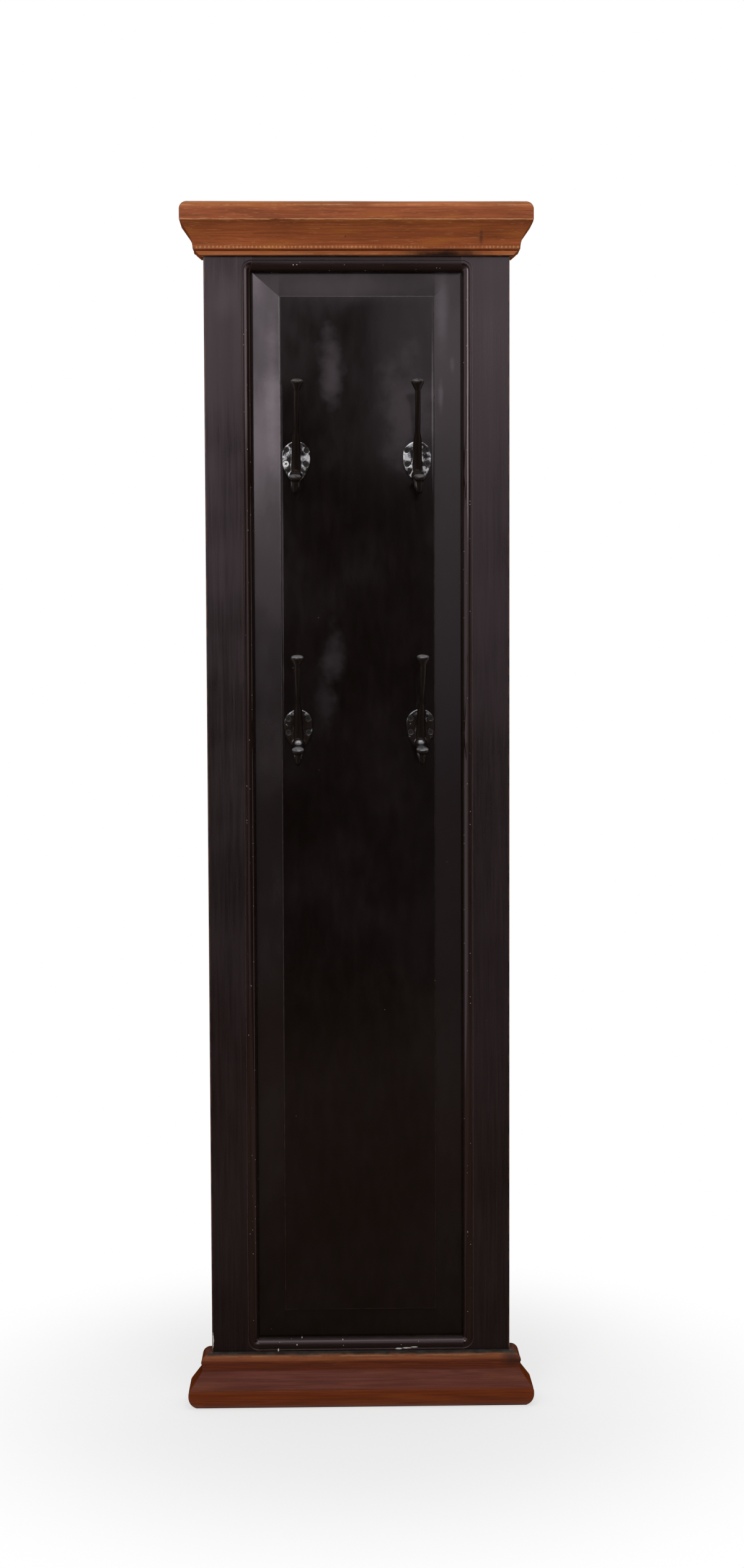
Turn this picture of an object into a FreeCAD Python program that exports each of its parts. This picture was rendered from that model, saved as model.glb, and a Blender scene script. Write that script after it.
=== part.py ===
# Coat rack panel: a tall frame-and-panel board with a crown and a base moulding and four cast hooks.
# Millimetres. X runs to the right, Y into the wall and Z up. The wall is at y = 0 and the floor at z = 0.
import FreeCAD
import Part
import math
import os

# Body
body_width = 428.0
body_height = 1702.0
frame_thickness = 28.0

# Frame members, measured on their flat front face up to the moulded inner edge
stile_face = 52.5
rail_face = 77.0
outer_arris = 1.5

# Moulded inner edge of the frame: a small step and then a quarter round
edge_step_width = 3.5
edge_step_drop = 2.0
edge_round = 11.0
edge_lip = 1.5

# Raised panel that floats in the frame's groove
tongue_thickness = 7.0
groove_depth = 12.0
groove_fit = 0.2
panel_side_gap = 2.0
panel_top_gap = 4.0
bevel_side_width = 38.5
bevel_top_width = 34.5
bevel_bottom_width = 42.0
bevel_rise = 6.0
field_step = 3.0
field_arris = 0.8

# Mortise and tenon joints with their pegs
tenon_length = 45.0
tenon_shoulder = 15.0
tenon_haunch = 4.0
tenon_fit = 0.1
peg_radius = 4.5
peg_length = 24.0
peg_inset = 20.0
peg_spacing = 30.0
peg_fit = 0.05

# Crown moulding
crown_height = 72.5
crown_projection = 31.7
crown_soffit = 3.8
crown_band_reach = 14.0
crown_band_height = 8.5
crown_cove_radius = 36.0
crown_shoulder_radius = 2.0
crown_slope = 35.0
crown_top_round = 13.0

# Base moulding
base_height = 75.0
base_projection = 33.0
base_toe_radius = 23.5
base_toe_rise = 20.0
base_band_height = 22.5
base_shoulder_radius = 12.0
base_cove_radius = 6.0
base_slope = 38.0
base_nose_reach = 15.2
base_nose_round = 11.8
base_nose_height = 13.0
base_quirk = 0.6

# Finishing nails that hold the mouldings, placed by their share of the way up the sloping run
nail_radius = 0.9
nail_length = 36.0
nail_head_radius = 1.5
nail_head_height = 1.2
nail_set = 2.0
nail_fit = 0.05
nail_slope_share = 0.1
nail_edge_inset = 9.0
crown_front_nail_x = -16.0

# Hooks, each fixed by hand: x, its row, and the degrees that it leans to the right
hook_places = {
    "upper_left": (-86.0, "upper", 1.6),
    "upper_right": (84.0, "upper", -1.5),
    "lower_left": (-85.0, "lower", 0.0),
    "lower_right": (88.0, "lower", 0.0),
}
# From the top of the board down to the tops of the plates
upper_hook_drop = 328.0
lower_hook_drop = 704.5
zinc_screw_hook = "upper_left"
zinc_screw_index = 2

# Hook casting
plate_half_width = 20.0
plate_thickness = 4.5
plate_shoulder_drop = 24.0
plate_side_radius = 42.0
plate_tip_radius = 6.0
plate_edge_round = 1.6
root_drop = 46.0
root_width = 14.0
root_depth_share = 0.85
rib_width = 12.4
rib_end = 0.36
waist_width = 7.6
waist_start = 0.52
neck_width = 8.0
neck_depth_share = 0.99
upper_reach = 82.0
upper_rise = 62.0
upper_root_lean = 9.0
upper_root_pull = 46.0
upper_tip_lean = 15.0
upper_tip_pull = 45.0
upper_knob_radius = 9.0
upper_knob_flare = 8.0
upper_knob_cone = 25.0
lower_reach = 63.0
lower_drop = 59.0
lower_root_lean = 120.0
lower_root_pull = 40.0
lower_tip_lean = 20.0
lower_tip_pull = 33.0
lower_knob_radius = 8.8
lower_knob_flare = 3.0
lower_knob_cone = 42.0
knob_rim_share = 0.35
knob_core_share = 0.6
knob_sink = 6.0
knob_dome = 20.0
arm_sections = 13

# Screws that hold the hooks
screw_spacing = 28.4
screw_first_drop = 12.5
screw_pitch = 19.5
screw_head_radius = 4.0
screw_radius = 2.0
screw_length = 19.0
screw_fit = 0.05
# Degrees that the four screws of a hook were left turned by
screw_turns = (10.0, -25.0, 45.0, 70.0)

# Keyhole hangers let into the back of the stiles
hanger_drop = 102.0
hanger_length = 60.0
hanger_width = 24.0
hanger_thickness = 2.0
hanger_fit = 0.1
keyhole_radius = 5.5
keyslot_width = 5.5
keyslot_rise = 16.0
keyhole_drop = 37.0
pocket_depth = 8.0
pocket_margin = 1.5
hanger_screw_inset = 7.0
hanger_screw_head_radius = 3.2
hanger_screw_radius = 1.6
hanger_screw_length = 16.0

# Rim of every countersunk head, and its cross recess as shares of the head's radius
screw_rim = 0.3
recess_reach_share = 0.58
recess_width_share = 0.27
recess_depth_share = 0.4

# Tools that cut reach this far past the faces that they cut
overcut = 5.0

front = -frame_thickness
half_body = body_width / 2
edge_width = edge_step_width + edge_round
edge_drop = edge_step_drop + edge_round
opening_half = half_body - stile_face - edge_width
opening_low = rail_face + edge_width
opening_high = body_height - rail_face - edge_width
groove_front = front + edge_drop + edge_lip
groove_back = groove_front + tongue_thickness + groove_fit
panel_face = groove_back - tongue_thickness
bevel_top = panel_face - bevel_rise
field_face = bevel_top - field_step
field_half = opening_half - bevel_side_width
field_low = opening_low + bevel_bottom_width
field_high = opening_high - bevel_top_width
crown_low = body_height - crown_height
hanger_x = opening_half + (half_body - opening_half) / 2
hanger_top = body_height - hanger_drop
keyhole_z = hanger_top - keyhole_drop
plate_tops = {"upper": body_height - upper_hook_drop, "lower": body_height - lower_hook_drop}

UP = FreeCAD.Vector(0, 0, 1)
INTO_WALL = FreeCAD.Vector(0, 1, 0)
TO_RIGHT = FreeCAD.Vector(1, 0, 0)


def point(x, y, z):
    return FreeCAD.Vector(x, y, z)


def block(x_span, y_span, z_span):
    size = [high - low for low, high in (x_span, y_span, z_span)]
    return Part.makeBox(*size, point(x_span[0], y_span[0], z_span[0]))


def rod(start, direction, radius, length):
    return Part.makeCylinder(radius, length, start, direction)


def mirrored(shape):
    return shape.mirror(point(0, 0, 0), TO_RIGHT)


def cut_all(shape, tools):
    return shape.cut(Part.makeCompound(tools)) if tools else shape


def edges_at_depth(shape, y):
    """The edges that lie wholly in the plane at that y."""
    return [edge for edge in shape.Edges if all(abs(end.Y - y) < 1e-6 for end in edge.Vertexes)]


def tidy(shape):
    """The solid of a boolean result, with split faces joined again."""
    return shape.removeSplitter().Solids[0]


class Pen:
    """Draws a closed outline of straight runs and tangent arcs in a plane of two coordinates."""

    def __init__(self, a, b, heading=0.0):
        self.at = (a, b)
        self.heading = heading
        self.start = (a, b)
        self.steps = []

    def to(self, a, b):
        self.heading = math.degrees(math.atan2(b - self.at[1], a - self.at[0]))
        self.steps.append((self.at, None, (a, b)))
        self.at = (a, b)
        return self

    def face_to(self, heading):
        self.heading = heading
        return self

    def run(self, length):
        angle = math.radians(self.heading)
        return self.to(self.at[0] + length * math.cos(angle), self.at[1] + length * math.sin(angle))

    def turn(self, radius, degrees):
        """An arc that leaves along the heading and turns left by that many degrees, or right if negative."""
        side = 90.0 if degrees > 0 else -90.0
        to_centre = math.radians(self.heading + side)
        centre = (self.at[0] + radius * math.cos(to_centre), self.at[1] + radius * math.sin(to_centre))

        def on_arc(turned):
            angle = math.radians(self.heading - side + turned)
            return (centre[0] + radius * math.cos(angle), centre[1] + radius * math.sin(angle))

        middle = on_arc(degrees / 2)
        end = on_arc(degrees)
        self.steps.append((self.at, middle, end))
        self.at = end
        self.heading += degrees
        return self

    def face(self, place):
        """The outline, closed with a straight run, as a face whose points place(a, b) puts in space."""
        if math.dist(self.at, self.start) > 1e-6:
            self.to(*self.start)
        edges = []
        for first, middle, last in self.steps:
            if middle is None:
                edges.append(Part.LineSegment(place(*first), place(*last)).toShape())
            else:
                edges.append(Part.Arc(place(*first), place(*middle), place(*last)).toShape())
        return Part.Face(Part.Wire(Part.__sortEdges__(edges)))


# Frame

def edge_outline():
    """What the cutter takes off the frame's inner edge: across the edge, and up from the front face."""
    pen = Pen(edge_width, 0).to(edge_width, -edge_step_drop)
    pen.to(edge_round, -edge_step_drop).face_to(180).turn(edge_round, 90)
    return pen.to(0, overcut).to(edge_width, overcut)


def stile_edge_cutters():
    """The left stile's moulded edge: a straight run, and a quarter turn round each corner of the opening."""
    def at_height(z):
        return edge_outline().face(lambda a, h: point(-opening_half - a, front - h, z))

    run = at_height(opening_low).extrude(UP * (opening_high - opening_low))
    corners = []
    for z, degrees in ((opening_low, -90), (opening_high, 90)):
        corners.append(at_height(z).revolve(point(-opening_half, front, z), INTO_WALL, degrees))
    return [run] + corners


def rail_edge_cutter(z, outward):
    """The moulded edge of a rail, from the opening's edge at z outward into the rail."""
    face = edge_outline().face(lambda a, h: point(-opening_half, front - h, z + outward * a))
    return face.extrude(TO_RIGHT * (2 * opening_half))


def tenon_span(outer_z, outward):
    """Low and high z of a tenon on the rail whose outer edge is at outer_z."""
    tip = outer_z - outward * tenon_shoulder
    root = outer_z - outward * (rail_face + edge_width - groove_depth - tenon_haunch)
    return min(tip, root), max(tip, root)


def peg_places():
    """(x, z) of each peg, two to a joint."""
    places = []
    for outer_z, outward in ((0.0, -1), (body_height, 1)):
        low, high = tenon_span(outer_z, outward)
        for side in (-1, 1):
            for step in (-0.5, 0.5):
                x = side * (opening_half + peg_inset)
                places.append((x, (low + high) / 2 + step * peg_spacing))
    return places


def peg_hole_tools():
    return [rod(point(x, overcut, z), -INTO_WALL, peg_radius + peg_fit, peg_length + overcut)
            for x, z in peg_places()]


def left_stile():
    stile = block((-half_body, -opening_half), (front, 0), (0, body_height))
    outer = [edge for edge in edges_at_depth(stile, front) if abs(edge.CenterOfMass.x + half_body) < 1e-6]
    stile = stile.makeFillet(outer_arris, outer)
    groove_span = (groove_front, groove_back)
    tools = stile_edge_cutters()
    tools.append(block((-opening_half - groove_depth, -opening_half + overcut), groove_span,
                       (opening_low - groove_depth, opening_high + groove_depth)))
    for outer_z, outward in ((0.0, -1), (body_height, 1)):
        low, high = tenon_span(outer_z, outward)
        tools.append(block((-opening_half - tenon_length - tenon_fit, -opening_half + overcut),
                           (groove_front - tenon_fit, groove_back + tenon_fit),
                           (low - tenon_fit, high + tenon_fit)))
    tools += peg_hole_tools() + nail_hole_tools(crown_nails() + base_nails()) + hanger_pocket_tools()
    return tidy(cut_all(stile, tools))


def rail(outer_z, outward):
    """A rail with its tenons. Outward is 1 for the top rail and -1 for the bottom one."""
    inner_z = outer_z - outward * (rail_face + edge_width)
    z_span = (min(outer_z, inner_z), max(outer_z, inner_z))
    body = block((-opening_half, opening_half), (front, 0), z_span)
    tenon_half = opening_half + tenon_length
    tenons = block((-tenon_half, tenon_half), (groove_front, groove_back), tenon_span(outer_z, outward))
    groove_z = (inner_z - overcut, inner_z + groove_depth)
    if outward < 0:
        groove_z = (inner_z - groove_depth, inner_z + overcut)
    groove = block((-opening_half - overcut, opening_half + overcut), (groove_front, groove_back), groove_z)
    tools = [rail_edge_cutter(inner_z, outward), groove]
    tools += peg_hole_tools() + nail_hole_tools(crown_nails() + base_nails())
    return tidy(cut_all(body.fuse(tenons), tools))


def tenon_pegs():
    return [rod(point(x, 0, z), -INTO_WALL, peg_radius, peg_length) for x, z in peg_places()]


# Raised panel

def panel_rectangle(half, low, high, y):
    corners = [point(-half, y, low), point(half, y, low), point(half, y, high), point(-half, y, high)]
    return Part.makePolygon(corners + corners[:1])


def raised_panel():
    tongue_half = opening_half + groove_depth - panel_side_gap
    tongue = block((-tongue_half, tongue_half), (panel_face, groove_back),
                   (opening_low - groove_depth, opening_high + groove_depth - panel_top_gap))
    bevel = Part.makeLoft([
        panel_rectangle(opening_half, opening_low, opening_high, panel_face),
        panel_rectangle(field_half, field_low, field_high, bevel_top),
    ], True, True)
    field = block((-field_half, field_half), (field_face, bevel_top), (field_low, field_high))
    field = field.makeFillet(field_arris, edges_at_depth(field, field_face))
    pilots = [placed(tool, name) for name in hook_places for tool in screw_tools(screw_fit)]
    return tidy(cut_all(tongue.fuse([bevel, field]), pilots))


# Mouldings: outlines run out from the body and up

def crown_outline():
    slope = math.radians(crown_slope)
    bends = crown_cove_radius + crown_shoulder_radius
    straight = crown_projection - crown_band_reach - bends * (1 - math.cos(slope))
    pen = Pen(0, crown_low).to(crown_soffit, crown_low)
    pen.to(crown_band_reach, crown_low + crown_band_height)
    pen.face_to(90).turn(crown_cove_radius, -crown_slope).run(straight / math.sin(slope))
    pen.turn(crown_shoulder_radius, crown_slope).to(crown_projection, body_height - crown_top_round)
    return pen.turn(crown_top_round, 90).to(0, body_height)


def base_outline():
    slope = math.radians(base_slope)
    toe_turn = math.degrees(math.asin(base_toe_rise / base_toe_radius))
    undercut = base_toe_radius * (1 - math.cos(math.radians(toe_turn)))
    bends = base_cove_radius + base_shoulder_radius
    inner = base_nose_reach - base_quirk
    straight = base_projection - inner - bends * (1 - math.cos(slope))
    nose_low = base_height - base_nose_height
    pen = Pen(0, 0).to(base_projection - undercut, 0).face_to(90 - toe_turn)
    pen.turn(base_toe_radius, toe_turn).to(base_projection, base_band_height)
    pen.turn(base_shoulder_radius, base_slope).run(straight / math.sin(slope))
    pen.turn(base_cove_radius, -base_slope).to(inner, nose_low).to(base_nose_reach, nose_low)
    pen.to(base_nose_reach, base_height - base_nose_round)
    return pen.turn(base_nose_round, 90).to(0, base_height)


def nail_spot(outline):
    """(reach, z) of the nails on the sloping run, which is the longest straight step off the axes."""
    slopes = [(math.dist(first, last), first, last) for first, middle, last in outline.steps
              if middle is None and min(abs(last[0] - first[0]), abs(last[1] - first[1])) > 1e-6]
    _, *ends = max(slopes)
    low, high = sorted(ends, key=lambda end: end[1])
    return [low[i] + nail_slope_share * (high[i] - low[i]) for i in (0, 1)]


def front_moulding(outline, projection):
    """The moulding across the front, mitred at both ends."""
    reach = projection + overcut
    length = body_width + 2 * reach
    bar = outline.face(lambda p, z: point(-length / 2, front - p, z)).extrude(TO_RIGHT * length)
    plan = [(-half_body, front), (half_body, front), (half_body + reach, front - reach),
            (-half_body - reach, front - reach)]
    return mitred(bar, plan)


def left_return(outline, projection):
    """The moulding along the left side, mitred to the front one."""
    reach = projection + overcut
    length = frame_thickness + reach
    bar = outline.face(lambda p, z: point(-half_body - p, 0, z)).extrude(-INTO_WALL * length)
    plan = [(-half_body, 0), (-half_body, front), (-half_body - reach, front - reach),
            (-half_body - reach, 0)]
    return mitred(bar, plan)


def mitred(bar, plan):
    """What of the bar lies inside the outline given in plan."""
    corners = [point(x, y, -overcut) for x, y in plan]
    prism = Part.Face(Part.makePolygon(corners + corners[:1])).extrude(UP * (body_height + 2 * overcut))
    return tidy(bar.common(prism))


# Nails: each is (head centre, direction)

def moulding_nails(outline, front_places):
    """Nails at those x in the front moulding, and two in each return."""
    reach, z = nail_spot(outline)
    head = reach - nail_set
    nails = [(point(x, front - head, z), INTO_WALL) for x in front_places]
    for side in (-1, 1):
        for y in (-nail_edge_inset, front + nail_edge_inset):
            nails.append((point(side * (half_body + head), y, z), TO_RIGHT * -side))
    return nails


def crown_nails():
    return moulding_nails(crown_outline(), [crown_front_nail_x])


def base_nails():
    return moulding_nails(base_outline(), [])


def nail(head, direction):
    return rod(head, direction, nail_head_radius, nail_head_height).fuse(
        rod(head, direction, nail_radius, nail_length)).removeSplitter().Solids[0]


def nail_hole_tools(nails):
    """The shank's bore, and the wider hole that the head is driven through."""
    tools = []
    for head, direction in nails:
        tools.append(rod(head, direction, nail_radius + nail_fit, nail_length + nail_fit))
        mouth = head - direction * (nail_set + overcut)
        tools.append(rod(mouth, direction, nail_head_radius + nail_fit,
                         nail_set + overcut + nail_head_height + nail_fit))
    return tools


# Screws: drawn from the middle of the head's top, pointing along direction

def screw_tool(head, direction, head_radius, radius, length, fit):
    """A countersunk screw grown by fit on every side."""
    cone = head_radius - radius
    grown = radius + fit
    pen = Pen(0, -fit).to(head_radius + fit, -fit).to(head_radius + fit, screw_rim)
    pen.to(grown, screw_rim + cone)
    pen.to(grown, length - radius).to(0, length + fit)
    across = TO_RIGHT if abs(direction.x) < 0.5 else UP
    face = pen.face(lambda r, s: head + across * r + direction * s)
    return face.revolve(head, direction, 360)


def screw(head, direction, head_radius, radius, length, turn=0.0):
    """A screw whose cross recess is turned by that many degrees."""
    body = screw_tool(head, direction, head_radius, radius, length, 0.0)
    reach = head_radius * recess_reach_share
    half = head_radius * recess_width_share / 2
    depth = head_radius * recess_depth_share
    low, high = sorted((head.y, head.y + direction.y * depth))
    arms = [block((head.x - reach, head.x + reach), (low, high), (head.z - half, head.z + half)),
            block((head.x - half, head.x + half), (low, high), (head.z - reach, head.z + reach))]
    for arm in arms:
        arm.rotate(head, direction, turn)
    return tidy(cut_all(body, arms))


# Hooks: drawn with the top of the plate at x = 0 and z = 0, then put in place

def placed(shape, name):
    """A copy of a shape drawn at the origin, moved to that hook's place and leant about its plate."""
    x, row, lean = hook_places[name]
    moved = shape.copy()
    moved.rotate(point(0, 0, -plate_shoulder_drop), INTO_WALL, lean)
    moved.translate(point(x, 0, plate_tops[row]))
    return moved


def hook_screw_heads():
    """Middles of the screw heads on a hook."""
    y = field_face - plate_thickness
    return [point(side * screw_spacing / 2, y, -screw_first_drop - row * screw_pitch)
            for row in (0, 1) for side in (-1, 1)]


def screw_tools(fit):
    return [screw_tool(head, INTO_WALL, screw_head_radius, screw_radius, screw_length, fit)
            for head in hook_screw_heads()]


def hook_screws():
    return [screw(head, INTO_WALL, screw_head_radius, screw_radius, screw_length, turn)
            for head, turn in zip(hook_screw_heads(), screw_turns)]


def hook_plate():
    """A shield: round at the top, drawn in to a small round tip."""
    swing = math.degrees(math.acos((plate_side_radius - plate_half_width)
                                   / (plate_side_radius - plate_tip_radius)))
    straight = plate_shoulder_drop - plate_half_width
    pen = Pen(plate_half_width, -plate_half_width, 90).turn(plate_half_width, 180)
    pen.run(straight).turn(plate_side_radius, swing)
    pen.turn(plate_tip_radius, 2 * (90 - swing)).turn(plate_side_radius, swing)
    outline = pen.face(lambda x, z: point(x, field_face, z))
    plate = outline.extrude(-INTO_WALL * plate_thickness)
    return plate.makeFillet(plate_edge_round, edges_at_depth(plate, field_face - plate_thickness))


def bend_between(root_lean, root_pull, tip, tip_lean, tip_pull):
    """Control points (out, z) of a bend from the plate to the tip. Leans are degrees outward from upright."""
    root = (plate_thickness / 2, -root_drop)
    leave = math.radians(root_lean)
    arrive = math.radians(tip_lean)
    first = (root[0] + root_pull * math.sin(leave), root[1] + root_pull * math.cos(leave))
    last = (tip[0] - tip_pull * math.sin(arrive), tip[1] - tip_pull * math.cos(arrive))
    return root, first, last, tip


def bend_at(controls, t):
    """Point and unit tangent of a cubic bend, as (out, z)."""
    a, b, c, d = controls
    s = 1 - t
    at = [s ** 3 * a[i] + 3 * s * s * t * b[i] + 3 * s * t * t * c[i] + t ** 3 * d[i] for i in (0, 1)]
    way = [s * s * (b[i] - a[i]) + 2 * s * t * (c[i] - b[i]) + t * t * (d[i] - c[i]) for i in (0, 1)]
    size = math.hypot(*way)
    return at, (way[0] / size, way[1] / size)


def arm_width(t):
    """The arm is a rib at its root, draws in to a waist and widens a little to its neck."""
    if t < rib_end:
        return root_width + (rib_width - root_width) * t / rib_end
    if t > waist_start:
        return waist_width + (neck_width - waist_width) * (t - waist_start) / (1 - waist_start)
    share = (t - rib_end) / (waist_start - rib_end)
    return rib_width + (waist_width - rib_width) * (1 - math.cos(math.pi * share)) / 2


def hook_arm(controls):
    """A tapering arm of oval section along the bend."""
    wires = []
    for i in range(arm_sections):
        t = i / (arm_sections - 1)
        (out, z), (way_out, way_up) = bend_at(controls, t)
        half = arm_width(t) / 2
        depth = half * (root_depth_share + (neck_depth_share - root_depth_share) * t)
        middle = point(0, field_face - out, z)
        oval = Part.Ellipse(middle + TO_RIGHT * half, middle + point(0, way_up, way_out) * depth, middle)
        wires.append(Part.Wire(oval.toShape()))
    return Part.makeLoft(wires, True)


def hook_knob(controls, radius, flare, cone):
    """A mushroom end: a flared neck, a cone, a round rim and a low dome. The cone is degrees off the axis."""
    (out, z), (way_out, way_up) = bend_at(controls, 1.0)
    axis = point(0, -way_out, way_up)
    foot = point(0, field_face - out, z) - axis * knob_sink
    core = neck_width / 2 * knob_core_share
    rim = radius * knob_rim_share
    angle = math.radians(cone)
    straight = (radius - core - (flare + rim) * (1 - math.cos(angle))) / math.sin(angle)
    dome_edge = radius - rim * (1 - math.sin(math.radians(knob_dome)))
    pen = Pen(0, 0).to(core, 0).face_to(90)
    pen.turn(flare, -cone).run(straight).turn(rim, cone + 90 - knob_dome)
    pen.turn(dome_edge / math.sin(math.radians(knob_dome)), knob_dome)
    face = pen.face(lambda r, s: foot + TO_RIGHT * r + axis * s)
    return face.revolve(foot, axis, 360)


def hook():
    upper = bend_between(upper_root_lean, upper_root_pull, (upper_reach, upper_rise),
                         upper_tip_lean, upper_tip_pull)
    lower = bend_between(lower_root_lean, lower_root_pull, (lower_reach, -lower_drop),
                         lower_tip_lean, lower_tip_pull)
    pieces = [
        hook_arm(upper),
        hook_knob(upper, upper_knob_radius, upper_knob_flare, upper_knob_cone),
        hook_arm(lower),
        hook_knob(lower, lower_knob_radius, lower_knob_flare, lower_knob_cone),
    ]
    behind = block((-root_width, root_width), (field_face, field_face + root_width),
                   (-2 * root_drop, root_drop))
    casting = hook_plate().fuse(pieces).cut(behind)
    return tidy(cut_all(casting, screw_tools(screw_fit)))


# Keyhole hangers, drawn for the left stile

def hanger_outline(grow, y):
    """A strap with round ends, grown by that much, lying in the plane y."""
    half = hanger_width / 2 + grow
    low = hanger_top - hanger_length + hanger_width / 2
    high = hanger_top - hanger_width / 2
    pen = Pen(half, low, 90).run(high - low).turn(half, 180).run(high - low)
    return pen.turn(half, 180).face(lambda a, z: point(-hanger_x + a, y, z))


def keyhole_tool(grow, depth):
    """The keyhole: a round mouth for the head of a wall screw, with a slot above it for the shank."""
    mouth = rod(point(-hanger_x, overcut, keyhole_z), -INTO_WALL, keyhole_radius + grow, depth + overcut)
    slot_half = keyslot_width / 2 + grow
    slot_top = keyhole_z + keyslot_rise
    slot = block((-hanger_x - slot_half, -hanger_x + slot_half), (-depth, overcut), (keyhole_z, slot_top))
    end = rod(point(-hanger_x, overcut, slot_top), -INTO_WALL, slot_half, depth + overcut)
    return mouth.fuse([slot, end])


def hanger_screw_heads():
    return [point(-hanger_x, 0, z) for z in (hanger_top - hanger_screw_inset,
                                             hanger_top - hanger_length + hanger_screw_inset)]


def hanger_screw_tool(head, fit):
    return screw_tool(head, -INTO_WALL, hanger_screw_head_radius, hanger_screw_radius,
                      hanger_screw_length, fit)


def hanger_pocket_tools():
    seat = hanger_outline(hanger_fit, overcut).extrude(-INTO_WALL * (overcut + hanger_thickness))
    half = keyhole_radius + pocket_margin
    pocket = block((-hanger_x - half, -hanger_x + half), (-hanger_thickness - pocket_depth, overcut),
                   (keyhole_z - half, keyhole_z + keyslot_rise + half))
    return [seat, pocket] + [hanger_screw_tool(head, screw_fit) for head in hanger_screw_heads()]


def left_hanger():
    strap = hanger_outline(0.0, 0.0).extrude(-INTO_WALL * hanger_thickness)
    tools = [keyhole_tool(0.0, hanger_thickness + overcut)]
    tools += [hanger_screw_tool(head, screw_fit) for head in hanger_screw_heads()]
    return tidy(cut_all(strap, tools))


def left_hanger_screws():
    return [screw(head, -INTO_WALL, hanger_screw_head_radius, hanger_screw_radius, hanger_screw_length)
            for head in hanger_screw_heads()]


def moulding_nodes(name, outline, projection, nails):
    holes = nail_hole_tools(nails)
    left = tidy(cut_all(left_return(outline, projection), holes))
    return {
        name + "_front": tidy(cut_all(front_moulding(outline, projection), holes)),
        name + "_left_return": left,
        name + "_right_return": mirrored(left),
        name + "_nails": [nail(head, direction) for head, direction in nails],
    }


def hook_nodes():
    casting = hook()
    screws = hook_screws()
    nodes = {}
    for name in hook_places:
        nodes["hook_" + name] = placed(casting, name)
        nodes["hook_screws_" + name] = [placed(one, name) for one in screws]
    nodes["zinc_screw"] = nodes["hook_screws_" + zinc_screw_hook].pop(zinc_screw_index)
    return nodes


def all_nodes():
    stile = left_stile()
    hanger = left_hanger()
    screws = left_hanger_screws()
    nodes = {
        "left_stile": stile,
        "right_stile": mirrored(stile),
        "top_rail": rail(body_height, 1),
        "bottom_rail": rail(0.0, -1),
        "tenon_pegs": tenon_pegs(),
        "raised_panel": raised_panel(),
        "wall_hanger_left": hanger,
        "wall_hanger_right": mirrored(hanger),
        "hanger_screws": screws + [mirrored(one) for one in screws],
    }
    nodes.update(moulding_nodes("crown", crown_outline(), crown_projection, crown_nails()))
    nodes.update(moulding_nodes("base", base_outline(), base_projection, base_nails()))
    nodes.update(hook_nodes())
    return nodes


os.makedirs("parts", exist_ok=True)
for node, shape in all_nodes().items():
    if isinstance(shape, list):
        shape = Part.makeCompound(shape)
    shape.exportStep(os.path.join("parts", node + ".step"))
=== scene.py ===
"""Finishes a lacquered coat rack panel: worn mouldings, cast hooks, aged finishes and a pale stage."""

import math

import bmesh
import bpy
from bpy.props import FloatProperty, FloatVectorProperty, PointerProperty
from bpy.types import Operator, Panel, PropertyGroup
from mathutils import Matrix, Vector, noise


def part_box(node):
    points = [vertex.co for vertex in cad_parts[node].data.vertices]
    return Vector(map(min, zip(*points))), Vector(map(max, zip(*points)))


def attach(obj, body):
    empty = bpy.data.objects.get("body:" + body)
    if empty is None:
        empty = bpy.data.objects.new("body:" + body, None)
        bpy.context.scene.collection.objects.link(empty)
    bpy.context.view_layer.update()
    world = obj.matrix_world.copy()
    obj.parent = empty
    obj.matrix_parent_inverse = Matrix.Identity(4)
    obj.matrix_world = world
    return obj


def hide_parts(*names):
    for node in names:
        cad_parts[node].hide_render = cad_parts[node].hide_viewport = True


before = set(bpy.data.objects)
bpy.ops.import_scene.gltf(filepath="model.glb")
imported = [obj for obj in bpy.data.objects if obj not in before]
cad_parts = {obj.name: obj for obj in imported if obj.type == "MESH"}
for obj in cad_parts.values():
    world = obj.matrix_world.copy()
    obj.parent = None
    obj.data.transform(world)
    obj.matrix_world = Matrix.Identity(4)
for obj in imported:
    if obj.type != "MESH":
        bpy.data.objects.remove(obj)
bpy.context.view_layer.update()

bl_info = {
    "name": "Coat rack panel",
    "version": (1, 0, 0),
    "blender": (4, 5, 0),
    "location": "View3D > Sidebar > Coat rack",
    "description": "Worn mouldings, cast hooks and aged black lacquer for a tall coat rack panel",
    "category": "Object",
}

# Places on the board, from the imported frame, in metres
BOARD_LOW, BOARD_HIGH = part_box("left_stile")
BOARD_SIDE = -BOARD_LOW.x
BOARD_FRONT = BOARD_LOW.y
BOARD_BACK = BOARD_HIGH.y
BOARD_TOP = BOARD_HIGH.z
OPENING_SIDE = -BOARD_HIGH.x
OPENING_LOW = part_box("bottom_rail")[1].z
OPENING_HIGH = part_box("top_rail")[0].z
CROWN_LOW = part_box("crown_front")[0].z
BASE_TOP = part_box("base_front")[1].z
PANEL_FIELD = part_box("raised_panel")[0].y
PANEL_CORNERS = [vertex.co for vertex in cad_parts["raised_panel"].data.vertices]
FLAT_WITHIN = 0.0001
FIELD_SIDE = max(corner.x for corner in PANEL_CORNERS if corner.y < PANEL_FIELD + FLAT_WITHIN)
PLATE_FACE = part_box("zinc_screw")[0].y

# Width of the frame's moulded inner edge, and how far behind a front face its arris is still worn
MOULDED_EDGE = 0.0125
ARRIS_DEPTH = 0.0012

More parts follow.
